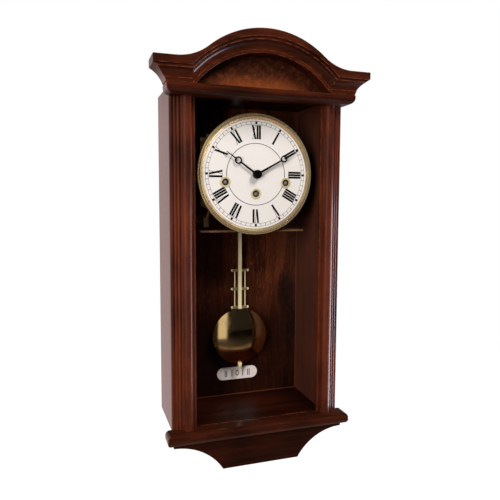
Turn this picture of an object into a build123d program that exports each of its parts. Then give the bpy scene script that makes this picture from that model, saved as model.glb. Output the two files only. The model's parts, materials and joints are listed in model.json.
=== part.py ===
"""Arched wooden wall clock with an open front, a three-train movement and a pendulum.

The clock hangs on a wall at y = 0 and faces -Y, with x to the right and z up. The origin is the centre
of the hanger hole, on the wall. Heights are counted from the top of the base moulding and depths forward
from the wall, so front(depth) is the front view's sketch plane at that depth.
"""
from build123d import *
import os
from math import acos, atan2, cos, degrees, hypot, radians, sin, sqrt

os.makedirs("parts", exist_ok=True)

# Carcass
case_width = 242.0
case_depth = 108.0
side_thickness = 19.5
side_drop = 10.0
ceiling_height = 452.0
board_thickness = 10.0
back_thickness = 5.0
hanger_drop = 37.0

# Crown
crown_overhang = 27.5
crown_forward = 37.5
crown_wing_rise = 29.5
arch_radius = 124.0
arch_rise = 43.3
arch_fillet = 66.0
crown_band = 9.9
crown_step = 2.4
crown_quirk = 3.5
crown_cove_across = 10.5
crown_cove_depth = 9.0
crown_cove_sag = 2.4
crown_lip_rise = 0.8
crown_arch_lip = 4.2
step_radius = 137.0
bead_drop = 7.5
bead_thickness = 12.7
bead_overhang = 10.25
bead_forward = 28.8
bead_round = 8.0
tympanum_thickness = 8.0
end_cove_sag = 2.5

# Pilasters
pilaster_width = 30.5
pilaster_overhang = 2.5
pilaster_return = 4.0
pilaster_edge = 5.0
pilaster_bead = 16.0
pilaster_bead_rise = 7.9
pilaster_lip = 4.0
reed_count = 3
reed_rise = 1.5

# Base
base_overhang = 12.0
base_thickness = 15.5
base_forward = 24.5
base_round = 6.0
apron_inset = 9.0
apron_height = 43.3
apron_lip = 5.0
apron_foot_width = 111.6
apron_thickness = 16.3

# Wall fittings
hanger_width = 64.0
hanger_tall = 34.0
hanger_thickness = 1.6
hanger_bore = 9.0
hanger_slot = 5.0
hanger_slot_rise = 9.0
hanger_pocket = 14.0
rivet_pitch = 46.0
rivet_radius = 2.0
rivet_head_radius = 3.6
rivet_head = 1.2
bumper_radius = 7.0
bumper_inset = 16.5
bumper_height = 15.0

# Dial
dial_drop = 104.6
dial_thickness = 1.2
dial_margin = 3.8
dial_fit = 0.05
bezel_inner_radius = 75.6
bezel_slope = 3.2
bezel_wall = 4.6
bezel_roll_rise = 3.4
bezel_bead = 2.2
bezel_bead_rise = 1.2
bezel_bead_sag = 0.7
bezel_skirt = 3.6
winding_spread = 44.6
winding_drop = 11.1
time_drop = 26.8
grommet_bore = 4.75
grommet_wall = 0.85
grommet_lip = 1.9
grommet_flange = 0.9
post_radius = 2.5
post_spread = 44.0
post_rise = 44.0

# Movement plates
plate_thickness = 2.0
dial_gap = 11.4
plate_gap = 34.0
plate_half_width = 68.0
plate_top = 54.0
plate_shoulder = 44.0
plate_foot_rise = 62.0
plate_foot_half = 28.0
seat_drop = 78.4
seat_thickness = 2.4
seat_back_margin = 9.0
seat_front_margin = 3.0
seat_side_margin = 9.0
seat_arm_width = 27.0
seat_flange_tall = 20.0
pillar_radius = 3.5
pillar_stud = 2.0
pillar_side_inset = 6.0
pillar_top_drop = 16.0
pillar_foot_inset = 7.0
pillar_foot_lift = 11.4
nut_flats = 7.0
nut_thickness = 2.6
bracket_width = 10.0
bracket_spread = 12.0
bracket_tall = 16.0
bracket_thickness = 1.5

# Arbors and gears
pivot_radius = 0.9
pivot_fit = 0.05
arbor_radius = 1.6
end_shake = 0.3
tooth_addendum = 0.6
tooth_dedendum = 0.95
tooth_tip_share = 0.09
tooth_pitch_share = 0.18
tooth_root_share = 0.25
wheel_thickness = 1.5
pinion_thickness = 2.5
barrel_gap = 3.0
great_teeth = 48
pinion_teeth = 10
second_module = 0.7
second_teeth = 44
centre_module = 0.6
centre_teeth = 54
third_module = 0.5
third_teeth = 54
third_bearing = 55.0
escape_teeth = 30
escape_radius = 11.0
escape_root = 8.6
cannon_teeth = 12
minute_teeth = 36
minute_module = 0.6
hour_teeth = 40
minute_bearing = 135.0
strike_bearing = 105.0
fly_bearing = 60.0
fly_half_span = 8.0
fly_length = 14.0
fly_thickness = 0.6

# Layers between the plates, counted back from the front plate
centre_layer = 1.5
second_layer = 5.0
third_layer = 10.0
escape_layer = 15.0
drum_layer = 9.0
great_layer = 27.5
fly_layer = 12.0

# Barrels and winding arbors
drum_inset = 1.6
drum_wall = 1.2
great_thickness = 2.0
winding_radius = 3.0
winding_pivot = 2.0
winding_square = 4.2
winding_recess = 0.6
ratchet_radius = 6.5
ratchet_root = 5.3
ratchet_teeth = 18
ratchet_thickness = 2.0
ratchet_gap = 0.3
click_gap = 0.3
click_post = 1.6
click_reach = 6.0
click_width = 2.4
spring_turns = 11
spring_strip = 0.5
spring_inner_radius = 5.0
spring_margin = 0.2
spring_end_gap = 1.6

# Escapement and suspension
verge_rise = 16.0
anchor_gap = 1.1
anchor_half_span = 7.5
anchor_thick = 2.4
verge_hole = 4.0
cock_spread = 14.0
cock_foot = 6.0
cock_standoff = 12.0
cock_bridge = 3.0
cock_tall = 12.0
cock_blind = 1.5
suspension_pin = 1.0
suspension_flange = 2.2
crutch_standoff = 6.0
crutch_thickness = 2.0
crutch_width = 5.0
crutch_length = 48.0
crutch_boss = 4.0
crutch_fork = 2.0
crutch_fit = 0.3
fork_tall = 5.0

# Pendulum
pendulum_depth = 21.0
suspension_gap = 9.0
pendulum_width = 5.6
pendulum_thick = 1.6
chop_width = 10.0
chop_top = 4.0
chop_drop = 5.0
chop_thick = 3.0
leaf_drop = 12.0
leaf_thick = 0.4
lower_chop = 8.0
crossbar_gap = 2.2
crossbar_pitch = 29.1
crossbar_count = 3
crossbar_width = 25.0
crossbar_tall = 3.6
crossbar_thick = 3.0
crossbar_ball = 2.2
side_rod_spread = 8.4
side_rod_radius = 0.8
bob_height = 99.0
bob_radius = 43.7
bob_front_bulge = 11.5
bob_back_bulge = 5.0
bob_rim = 1.2
bob_fit = 0.1
nut_radius = 3.9
nut_tall = 5.5
stud_radius = 1.5
pointer_radius = 2.3
pointer_tip = 0.3
pointer_length = 12.5
beat_plate_drop = 2.4
beat_plate_width = 67.0
beat_plate_tall = 20.0
beat_plate_thick = 1.2
beat_pin_spread = 26.0
beat_pin_radius = 0.9
beat_pin_head = 1.6

# Hands
cannon_radius = 2.0
hour_pipe_radius = 3.2
dial_hole = 4.2
hand_thickness = 0.8
hour_hand_gap = 2.6
minute_hand_gap = 2.2
cap_rise = 2.6
hub_radius = 6.1
hour_hand_length = 53.0
hour_ring_at = 32.6
hour_ring_radius = 5.3
hour_ring_hole = 3.2
hour_hand_angle = -55.0
minute_hand_length = 69.0
minute_ring_at = 45.4
minute_ring_radius = 4.9
minute_ring_hole = 3.0
minute_hand_angle = 61.0
hand_root_width = 3.2
hand_neck_width = 2.0
hand_tip_width = 1.0

# Hammer, gong and lever
hammer_side_inset = 10.0
hammer_shoulder_rise = 4.0
hammer_layer = 10.0
hammer_lift = 12.5
hammer_drop = 27.5
hammer_arm_width = 3.0
hammer_arm_thick = 2.0
hammer_boss = 3.6
hammer_head_width = 7.0
hammer_head_tall = 14.0
hammer_head_long = 7.0
gong_count = 4
gong_pitch = 8.0
gong_first_depth = 47.0
gong_rod_radius = 1.5
gong_rod_wall_gap = 18.0
gong_rod_clearance = 7.0
gong_block_width = 22.0
gong_block_drop = 17.0
gong_block_tall = 20.0
gong_block_margin = 6.0
lever_side_inset = 14.0
lever_top_inset = 4.0
lever_reach = 23.5
lever_angle = 191.0
lever_width = 3.0
lever_thick = 1.2
lever_boss = 3.2
lever_stud = 1.5

# Places worked out from the sizes above
case_top = ceiling_height + board_thickness
base_z = hanger_drop - case_top
half_width = case_width / 2
inner_half = half_width - side_thickness
back_gap = hanger_thickness
back_face = back_gap + back_thickness
bead_height = ceiling_height - bead_drop
bead_top = bead_height + bead_thickness
bead_width = case_width + 2 * bead_overhang
base_width = case_width + 2 * base_overhang
apron_width = base_width - 2 * apron_inset
crown_width = case_width + 2 * crown_overhang
crown_half = crown_width / 2
bridge_depth = pendulum_depth + suspension_gap
back_plate_back = bridge_depth + cock_bridge + cock_standoff
back_plate_face = back_plate_back + plate_thickness
front_plate_back = back_plate_face + plate_gap
front_plate_face = front_plate_back + plate_thickness
dial_depth = front_plate_face + dial_gap
dial_front = dial_depth + dial_thickness
dial_radius = bezel_inner_radius + dial_margin
dial_z = base_z + ceiling_height - dial_drop
bezel_outer = dial_radius + dial_fit + bezel_wall
seat_z = dial_z - seat_drop
seat_back = back_plate_back - seat_back_margin
seat_front = front_plate_face + seat_front_margin
seat_half = plate_half_width + seat_side_margin
seat_arm_x = seat_half - seat_arm_width / 2
grommet_sleeve = grommet_bore + grommet_wall
barrel_pitch = hypot(winding_spread, time_drop - winding_drop)
great_module = (barrel_pitch - barrel_gap) / (great_teeth + 2 * tooth_addendum)
bob_foot_height = bob_height - bob_radius
pointer_tip_height = bob_foot_height - nut_tall - pointer_length
beat_plate_height = pointer_tip_height - beat_plate_drop
crossbar_foot = bob_height + bob_radius + crossbar_gap


def front(depth):
    """Front-view plane at a depth from the wall; extruding a positive amount comes forward."""
    return Plane.XZ.offset(depth)


def height(above_base):
    """Height above the base moulding as a z value."""
    return base_z + above_base


def finish(piece, name):
    """Name a finished piece and write it."""
    piece.part.label = name
    export_step(piece.part, f"parts/{name}.step")


def polar(centre, radius, angle):
    """Point at a radius and an angle in degrees from a centre."""
    return (centre[0] + radius * cos(radians(angle)), centre[1] + radius * sin(radians(angle)))


def bearing(a, b):
    """Direction in degrees from point a to point b."""
    return degrees(atan2(b[1] - a[1], b[0] - a[0]))


def meeting_point(a, reach_a, b, reach_b):
    """Point at given distances from a and b, on the right of the way from a to b."""
    span = hypot(b[0] - a[0], b[1] - a[1])
    turn = degrees(acos((reach_a**2 + span**2 - reach_b**2) / (2 * reach_a * span)))
    return polar(a, reach_a, bearing(a, b) - turn)


def pitch_radius(teeth, module):
    """Pitch circle radius of a gear."""
    return teeth * module / 2


def gear_points(centre, teeth, module, phase):
    """Outline of a thin-toothed clock gear with one tooth centred on the phase angle."""
    pitch = 360 / teeth
    middle = pitch_radius(teeth, module)
    steps = [
        (middle - tooth_dedendum * module, -tooth_root_share),
        (middle, -tooth_pitch_share),
        (middle + tooth_addendum * module, -tooth_tip_share),
        (middle + tooth_addendum * module, tooth_tip_share),
        (middle, tooth_pitch_share),
        (middle - tooth_dedendum * module, tooth_root_share),
    ]
    return [polar(centre, r, phase + (n + share) * pitch) for n in range(teeth) for r, share in steps]


def saw_points(centre, teeth, tip, root, phase):
    """Outline of a ratchet or escape wheel with slanted teeth."""
    pitch = 360 / teeth
    steps = [(root, 0.0), (tip, 0.75), (tip, 0.9)]
    return [polar(centre, r, phase + (n + share) * pitch) for n in range(teeth) for r, share in steps]


def slab(depth, thickness, points, mode=Mode.ADD):
    """Extrude an outline of the front view forward from a depth."""
    with BuildSketch(front(depth)) as outline:
        with BuildLine():
            Polyline(*points, close=True)
        make_face()
    extrude(outline.sketch, amount=thickness, mode=mode)


def rod(depth, length, centre, radius, mode=Mode.ADD):
    """Round rod or hole that runs forward from a depth."""
    with BuildSketch(front(depth)) as section:
        with Locations(centre):
            Circle(radius)
    extrude(section.sketch, amount=length, mode=mode)


def block(depth, thickness, centre, width, tall, mode=Mode.ADD):
    """Rectangular block or pocket that runs forward from a depth."""
    with BuildSketch(front(depth)) as section:
        with Locations(centre):
            Rectangle(width, tall)
    extrude(section.sketch, amount=thickness, mode=mode)


def layer_depth(layer, thickness):
    """Depth of the back of a slice that starts at a layer behind the front plate."""
    return front_plate_back - layer - thickness


# Places of the arbors, in the front view
centre_at = (0.0, dial_z)
time_at = (0.0, dial_z - time_drop)
strike_at = (-winding_spread, dial_z - winding_drop)
chime_at = (winding_spread, dial_z - winding_drop)
great_reach = pitch_radius(great_teeth + pinion_teeth, great_module)
second_reach = pitch_radius(second_teeth + pinion_teeth, second_module)
intermediate_at = meeting_point(time_at, great_reach, centre_at, second_reach)
third_at = polar(centre_at, pitch_radius(centre_teeth + pinion_teeth, centre_module), third_bearing)
third_reach = pitch_radius(third_teeth + pinion_teeth, third_module)
escape_at = (0.0, third_at[1] + sqrt(third_reach**2 - third_at[0] ** 2))
verge_at = (0.0, escape_at[1] + verge_rise)
minute_reach = pitch_radius(cannon_teeth + minute_teeth, minute_module)
hour_module = 2 * minute_reach / (pinion_teeth + hour_teeth)
minute_wheel_at = polar(centre_at, minute_reach, minute_bearing)
strike_second_at = polar(strike_at, great_reach, strike_bearing)
strike_fly_at = polar(strike_second_at, second_reach, fly_bearing)
chime_second_at = polar(chime_at, great_reach, 180 - strike_bearing)
chime_fly_at = polar(chime_second_at, second_reach, 180 - fly_bearing)
hammer_at = (hammer_side_inset - plate_half_width, dial_z - plate_shoulder + hammer_shoulder_rise)
lever_at = (lever_side_inset - plate_half_width, dial_z + plate_top - lever_top_inset)
pillar_places = [
    (side * spread, z)
    for side in (-1, 1)
    for spread, z in (
        (plate_half_width - pillar_side_inset, dial_z + plate_top - pillar_top_drop),
        (plate_foot_half - pillar_foot_inset, seat_z + pillar_foot_lift),
    )
]
post_places = [(side * post_spread, dial_z + rise) for side in (-1, 1) for rise in (-post_rise, post_rise)]
winding_places = {"time": time_at, "strike": strike_at, "chime": chime_at}
strike_arbors = [strike_second_at, strike_fly_at]
chime_arbors = [chime_second_at, chime_fly_at]
train_arbors = [intermediate_at, third_at, escape_at] + strike_arbors + chime_arbors

# Back panel with the pocket behind the hanger hole, and holes for rivets and pins
rivet_places = [(-rivet_pitch / 2, 0.0), (rivet_pitch / 2, 0.0)]
seat_rivet_places = [(side * seat_arm_x, seat_z + seat_flange_tall / 2) for side in (-1, 1)]
pin_places = [(side * beat_pin_spread, height(beat_plate_height)) for side in (-1, 1)]
case_middle = height((case_top - side_drop) / 2)
with BuildPart() as back_panel:
    block(back_gap, back_thickness, (0, case_middle), 2 * inner_half, case_top + side_drop)
    with BuildSketch(front(back_gap)) as pocket:
        with Locations((0, hanger_slot_rise / 2)):
            SlotCenterToCenter(hanger_slot_rise, hanger_pocket, rotation=90)
    extrude(pocket.sketch, amount=back_thickness, mode=Mode.SUBTRACT)
    for place in rivet_places + seat_rivet_places:
        rod(back_gap, back_thickness, place, rivet_radius, Mode.SUBTRACT)
    for place in pin_places:
        rod(back_gap, back_thickness, place, beat_pin_radius, Mode.SUBTRACT)
finish(back_panel, "back_panel")

# Sides, ceiling and floor
for name, side in (("left", -1), ("right", 1)):
    with BuildPart() as side_panel:
        middle = (side * (half_width - side_thickness / 2), case_middle)
        block(0, case_depth, middle, side_thickness, case_top + side_drop)
    finish(side_panel, f"side_panel_{name}")

board_depth = case_depth - back_face
with BuildPart() as top_board:
    ceiling_middle = (0, height(ceiling_height + board_thickness / 2))
    block(back_face, board_depth, ceiling_middle, 2 * inner_half, board_thickness)
finish(top_board, "top_board")

with BuildPart() as bottom_board:
    block(back_face, board_depth, (0, height(-side_drop / 2)), 2 * inner_half, side_drop)
finish(bottom_board, "bottom_board")

# Pilasters: a large bead and, stepping back from it, small reeds that lap round the edge of the side
reed_span = pilaster_width + pilaster_overhang - pilaster_lip - pilaster_bead
for name, side in (("left", -1), ("right", 1)):
    with BuildPart() as pilaster:
        with BuildSketch(Plane.XY.offset(base_z)) as plan:
            with BuildLine():
                outer = side * (half_width + pilaster_overhang)
                inner = side * (half_width - pilaster_width)
                side_face = side * half_width
                back = -case_depth
                lap = back + pilaster_return
                face = back - pilaster_edge
                valleys = []
                for n in range(reed_count + 1):
                    share = n / reed_count
                    valleys.append((outer - side * reed_span * share, back - pilaster_edge * share))
                for a, b in zip(valleys, valleys[1:]):
                    middle = ((a[0] + b[0]) / 2, (a[1] + b[1]) / 2 - reed_rise)
                    ThreePointArc(a, middle, b)
                bead_end = inner + side * pilaster_lip
                bead_top_point = (bead_end + side * pilaster_bead / 2, face - pilaster_bead_rise)
                ThreePointArc(valleys[-1], bead_top_point, (bead_end, face))
                Polyline((bead_end, face), (inner, face), (inner, back), (side_face, back), (side_face, lap))
                Polyline((side_face, lap), (outer, lap), valleys[0])
            make_face()
        extrude(amount=bead_height)
    finish(pilaster, f"pilaster_{name}")

# Crown moulding: the section runs straight along the wings and turns about the arch, mitred where they meet
wing_z = height(bead_top + crown_wing_rise)
arch_z = wing_z + arch_rise - arch_radius
fillet_x = sqrt((arch_radius + arch_fillet) ** 2 - (wing_z + arch_fillet - arch_z) ** 2)
join_share = arch_radius / (arch_radius + arch_fillet)
join = (fillet_x * join_share, arch_z + (wing_z + arch_fillet - arch_z) * join_share)
step_z = wing_z - crown_band
step_centre_z = step_z + arch_rise - step_radius
wing_width = step_z - height(bead_top)
arch_width = crown_quirk + crown_cove_across + crown_arch_lip
cove_chord = hypot(crown_cove_across, crown_cove_depth)
step_forward = crown_forward - crown_step
cove_forward = step_forward - crown_cove_depth
lip_forward = cove_forward + crown_lip_rise


def crown_section(plane, spot, rise, width):
    """Section of the crown; spot places a point by its distance from the step line and its way forward."""
    cove_end = crown_quirk + crown_cove_across
    cove_middle = (crown_quirk + crown_cove_across / 2 - crown_cove_sag * crown_cove_depth / cove_chord,
                   step_forward - crown_cove_depth / 2 - crown_cove_sag * crown_cove_across / cove_chord)
    with BuildSketch(plane) as section:
        with BuildLine():
            ThreePointArc(spot(crown_quirk, step_forward), spot(*cove_middle), spot(cove_end, cove_forward))
            Polyline(spot(cove_end, cove_forward), spot(cove_end, lip_forward), spot(width, lip_forward),
                     spot(width, 0), spot(-rise, 0), spot(-rise, crown_forward), spot(0, crown_forward),
                     spot(0, step_forward), spot(crown_quirk, step_forward))
        make_face()
    return section.sketch


def along_wing(inward, forward):
    """Point of the crown's section where it runs straight."""
    return (-case_depth - forward, step_z - inward)


def round_arch(inward, forward):
    """Point of the crown's section where it turns about the arch."""
    return (step_radius - inward, -case_depth - forward)


with BuildPart() as crown_moulding:
    wing_plane = Plane.YZ.offset(-crown_half)
    extrude(crown_section(wing_plane, along_wing, 2 * arch_rise, wing_width), amount=crown_width)
    arch_plane = Plane((0, 0, step_centre_z), x_dir=(1, 0, 0), z_dir=(0, 0, 1))
    arch_axis = Axis((0, 0, step_centre_z), (0, 1, 0))
    arch_section = crown_section(arch_plane, round_arch, crown_width, arch_width)
    revolve(arch_section, axis=arch_axis, mode=Mode.INTERSECT)
    with BuildSketch(front(case_depth)) as crown_outline:
        with BuildLine():
            foot_z = height(bead_top)
            Line((-crown_half, wing_z), (-fillet_x, wing_z))
            RadiusArc((-fillet_x, wing_z), (-join[0], join[1]), -arch_fillet)
            RadiusArc((-join[0], join[1]), join, arch_radius)
            RadiusArc(join, (fillet_x, wing_z), -arch_fillet)
            Line((fillet_x, wing_z), (crown_half, wing_z))
            Polyline((crown_half, wing_z), (crown_half, foot_z), (-crown_half, foot_z),
                     (-crown_half, wing_z))
        make_face()
    extrude(crown_outline.sketch, amount=crown_forward, mode=Mode.INTERSECT)
    with BuildSketch(front(case_depth)) as end_cut:
        with BuildLine():
            top = (crown_half, step_z)
            foot = (bead_width / 2, foot_z)
            SagittaArc(foot, top, end_cove_sag)
            Polyline(top, (crown_half + end_cove_sag, top[1]), (crown_half + end_cove_sag, foot[1]), foot)
        make_face()
        mirror(about=Plane.YZ)
    extrude(end_cut.sketch, amount=crown_forward, mode=Mode.SUBTRACT)
finish(crown_moulding, "crown_moulding")

# Tympanum panel that fills the arch
tympanum_radius = step_radius - arch_width
tympanum_half = sqrt(tympanum_radius**2 - (foot_z - step_centre_z) ** 2)
with BuildPart() as tympanum_panel:
    with BuildSketch(front(case_depth)):
        with BuildLine():
            RadiusArc((-tympanum_half, foot_z), (tympanum_half, foot_z), tympanum_radius)
            Line((-tympanum_half, foot_z), (tympanum_half, foot_z))
        make_face()
    extrude(amount=tympanum_thickness)
finish(tympanum_panel, "tympanum_panel")

# Bead board with a rounded underside, and the bullnose base moulding
with BuildPart() as crown_bead_board:
    bead_middle = (0, height(bead_height + bead_thickness / 2))
    block(case_depth, bead_forward, bead_middle, bead_width, bead_thickness)
    lower = crown_bead_board.faces().sort_by(Axis.Z)[0].edges()
    fillet(lower.sort_by(Axis.Y)[0:1] + lower.filter_by(Axis.Y), bead_round)
    upper = crown_bead_board.faces().sort_by(Axis.Z)[-1].edges()
    fillet(upper.sort_by(Axis.Y)[0:1] + upper.filter_by(Axis.Y), bead_round / 4)
finish(crown_bead_board, "crown_bead_board")

with BuildPart() as base_moulding:
    block(case_depth, base_forward, (0, height(-base_thickness / 2)), base_width, base_thickness)
    lower = base_moulding.faces().sort_by(Axis.Z)[0].edges()
    upper = base_moulding.faces().sort_by(Axis.Z)[-1].edges()
    fillet(lower.sort_by(Axis.Y)[0:1] + lower.filter_by(Axis.Y), base_round)
    fillet(upper.sort_by(Axis.Y)[0:1] + upper.filter_by(Axis.Y), base_round)
finish(base_moulding, "base_moulding")

with BuildPart() as apron:
    with BuildSketch(front(case_depth)) as apron_outline:
        with BuildLine():
            top_z = height(-base_thickness)
            lip_z = top_z - apron_lip
            foot_z = top_z - apron_height
            end_x = apron_width / 2
            foot_x = apron_foot_width / 2
            TangentArc((-end_x, lip_z), (-foot_x, foot_z), tangent=(1, 0))
            TangentArc((end_x, lip_z), (foot_x, foot_z), tangent=(-1, 0))
            Line((-foot_x, foot_z), (foot_x, foot_z))
            Polyline((-end_x, lip_z), (-end_x, top_z), (end_x, top_z), (end_x, lip_z))
        make_face()
    extrude(amount=apron_thickness)
finish(apron, "apron")

# Sheet-metal seat that carries the movement: a shelf, notched behind for the pendulum, on two riveted arms
with BuildPart() as movement_seat:
    shelf_z = seat_z - seat_thickness / 2
    block(seat_back, seat_front - seat_back, (0, shelf_z), 2 * seat_half, seat_thickness)
    for side in (-1, 1):
        block(back_face, seat_back - back_face, (side * seat_arm_x, shelf_z), seat_arm_width,
              seat_thickness)
        flange_z = seat_z + (seat_flange_tall - seat_thickness) / 2
        block(back_face, seat_thickness, (side * seat_arm_x, flange_z), seat_arm_width,
              seat_flange_tall + seat_thickness)
    for place in seat_rivet_places:
        rod(back_face, seat_thickness, place, rivet_radius, Mode.SUBTRACT)
finish(movement_seat, "movement_seat")

# Hanger plate with a keyhole, its rivets and the wall bumpers
with BuildPart() as hanger_plate:
    with BuildSketch(front(0)):
        with Locations((0, hanger_slot_rise / 2)):
            RectangleRounded(hanger_width, hanger_tall, hanger_bore / 2)
        Circle(hanger_bore / 2, mode=Mode.SUBTRACT)
        with Locations((0, hanger_slot_rise / 2)):
            SlotCenterToCenter(hanger_slot_rise, hanger_slot, rotation=90, mode=Mode.SUBTRACT)
        with Locations(*rivet_places):
            Circle(rivet_radius, mode=Mode.SUBTRACT)
    extrude(amount=hanger_thickness)
finish(hanger_plate, "hanger_plate")

with BuildPart() as panel_rivets:
    for place in rivet_places:
        rod(0, back_face, place, rivet_radius)
        rod(back_face, rivet_head, place, rivet_head_radius)
    for place in seat_rivet_places:
        rod(back_gap, back_thickness + seat_thickness, place, rivet_radius)
        rod(back_face + seat_thickness, rivet_head, place, rivet_head_radius)
    for place in pin_places:
        rod(back_gap, back_thickness + beat_plate_thick, place, beat_pin_radius)
        rod(back_face + beat_plate_thick, rivet_head / 2, place, beat_pin_head)
finish(panel_rivets, "panel_rivets")

with BuildPart() as wall_bumpers:
    for side in (-1, 1):
        rod(0, back_gap, (side * (inner_half - bumper_inset), height(bumper_height)), bumper_radius)
finish(wall_bumpers, "wall_bumpers")

with BuildPart() as beat_plate:
    with BuildSketch(front(back_face)):
        with Locations((0, height(beat_plate_height))):
            SlotOverall(beat_plate_width, beat_plate_tall)
        with Locations(*pin_places):
            Circle(beat_pin_radius, mode=Mode.SUBTRACT)
    extrude(amount=beat_plate_thick)
finish(beat_plate, "beat_plate")

# Dial plate, bezel, grommets and posts
with BuildPart() as dial_plate:
    rod(dial_depth, dial_thickness, centre_at, dial_radius)
    rod(dial_depth, dial_thickness, centre_at, dial_hole, Mode.SUBTRACT)
    for place in winding_places.values():
        rod(dial_depth, dial_thickness, place, grommet_sleeve, Mode.SUBTRACT)
finish(dial_plate, "dial_plate")

ring_plane = Plane((0, 0, dial_z), x_dir=(1, 0, 0), z_dir=(0, 0, 1))
dial_axis = Axis((0, 0, dial_z), (0, 1, 0))
with BuildPart() as dial_bezel:
    with BuildSketch(ring_plane):
        with BuildLine():
            lip = (bezel_inner_radius, -dial_front)
            roll = (bezel_inner_radius + bezel_slope, -dial_front - bezel_roll_rise)
            groove = (bezel_outer - bezel_bead, -dial_front - bezel_bead_rise)
            seat = dial_radius + dial_fit
            rim = (bezel_outer, -dial_front)
            skirt = (bezel_outer, -dial_front + bezel_skirt)
            Line(lip, roll)
            TangentArc(roll, groove, tangent=(1, 0))
            SagittaArc(groove, rim, -bezel_bead_sag)
            Polyline(rim, skirt, (seat, skirt[1]), (seat, -dial_front), lip)
        make_face()
    revolve(axis=dial_axis)
finish(dial_bezel, "dial_bezel")

with BuildPart() as winding_grommets:
    for place in winding_places.values():
        rod(dial_depth, dial_thickness, place, grommet_sleeve)
        rod(dial_front, grommet_flange, place, grommet_sleeve + grommet_lip)
        rod(dial_depth, dial_thickness + grommet_flange, place, grommet_bore, Mode.SUBTRACT)
    fillet(winding_grommets.edges().group_by(Axis.Y)[0], grommet_flange / 2)
finish(winding_grommets, "winding_grommets")

with BuildPart() as dial_posts:
    for place in post_places:
        rod(front_plate_face, dial_gap, place, post_radius)
        rod(front_plate_back, plate_thickness, place, post_radius / 2)
finish(dial_posts, "dial_posts")

# Movement plates
plate_outline = [
    (-plate_half_width, dial_z + plate_top),
    (-plate_half_width, dial_z - plate_shoulder),
    (-plate_foot_half, dial_z - plate_foot_rise),
    (-plate_foot_half, seat_z),
    (plate_foot_half, seat_z),
    (plate_foot_half, dial_z - plate_foot_rise),
    (plate_half_width, dial_z - plate_shoulder),
    (plate_half_width, dial_z + plate_top),
]
with BuildPart() as front_plate:
    slab(front_plate_back, plate_thickness, plate_outline)
    rod(front_plate_face, dial_gap / 2, minute_wheel_at, arbor_radius)
    rod(front_plate_face, lever_thick + end_shake, lever_at, lever_stud)
    holes = [(place, pivot_radius + pivot_fit) for place in train_arbors + [verge_at]]
    holes += [(place, winding_radius + pivot_fit) for place in winding_places.values()]
    holes += [(place, pillar_stud) for place in pillar_places]
    holes += [(place, post_radius / 2) for place in post_places]
    holes += [(centre_at, arbor_radius + pivot_fit), (hammer_at, arbor_radius)]
    for place, radius in holes:
        rod(front_plate_back, plate_thickness, place, radius, Mode.SUBTRACT)
finish(front_plate, "front_plate")

with BuildPart() as back_plate:
    slab(back_plate_back, plate_thickness, plate_outline)
    holes = [(place, pivot_radius + pivot_fit) for place in train_arbors + [centre_at]]
    holes += [(place, winding_pivot + pivot_fit) for place in winding_places.values()]
    holes += [(place, pillar_stud) for place in pillar_places]
    holes += [(verge_at, verge_hole), (hammer_at, arbor_radius)]
    for place, radius in holes:
        rod(back_plate_back, plate_thickness, place, radius, Mode.SUBTRACT)
finish(back_plate, "back_plate")

stud_length = plate_thickness + nut_thickness
with BuildPart() as plate_pillars:
    for place in pillar_places:
        rod(back_plate_face, plate_gap, place, pillar_radius)
        rod(back_plate_face - stud_length, plate_gap + 2 * stud_length, place, pillar_stud)
finish(plate_pillars, "plate_pillars")

with BuildPart() as pillar_nuts:
    for place in pillar_places:
        for depth in (back_plate_back - nut_thickness, front_plate_face):
            with BuildSketch(front(depth)) as nut:
                with Locations(place):
                    RegularPolygon(nut_flats / 2, 6, major_radius=False)
                    Circle(pillar_stud, mode=Mode.SUBTRACT)
            extrude(nut.sketch, amount=nut_thickness)
finish(pillar_nuts, "pillar_nuts")

with BuildPart() as movement_brackets:
    for side in (-1, 1):
        leg_z = seat_z + bracket_tall / 2
        block(back_plate_back - bracket_thickness, bracket_thickness, (side * bracket_spread, leg_z),
              bracket_width, bracket_tall)
        toe_z = seat_z + bracket_thickness / 2
        block(seat_back, back_plate_back - seat_back, (side * bracket_spread, toe_z),
              bracket_width, bracket_thickness)
finish(movement_brackets, "movement_brackets")


def arbor(place):
    """Plain arbor between the plates with a pivot in each plate."""
    rod(back_plate_face + end_shake, plate_gap - 2 * end_shake, place, arbor_radius)
    rod(back_plate_back, plate_thickness + end_shake, place, pivot_radius)
    rod(front_plate_back - end_shake, plate_thickness + end_shake, place, pivot_radius)


def wheel(layer, place, teeth, module, phase, thickness=wheel_thickness):
    """Gear on an arbor at a layer behind the front plate."""
    slab(layer_depth(layer, thickness), thickness, gear_points(place, teeth, module, phase))


def pinion(layer, mate_thickness, place, module, mate_place):
    """Pinion beside a wheel's layer, with a gap between teeth turned to its mate."""
    start = layer - (pinion_thickness - mate_thickness) / 2
    phase = bearing(place, mate_place) + 180 / pinion_teeth
    wheel(start, place, pinion_teeth, module, phase, pinion_thickness)


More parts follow.
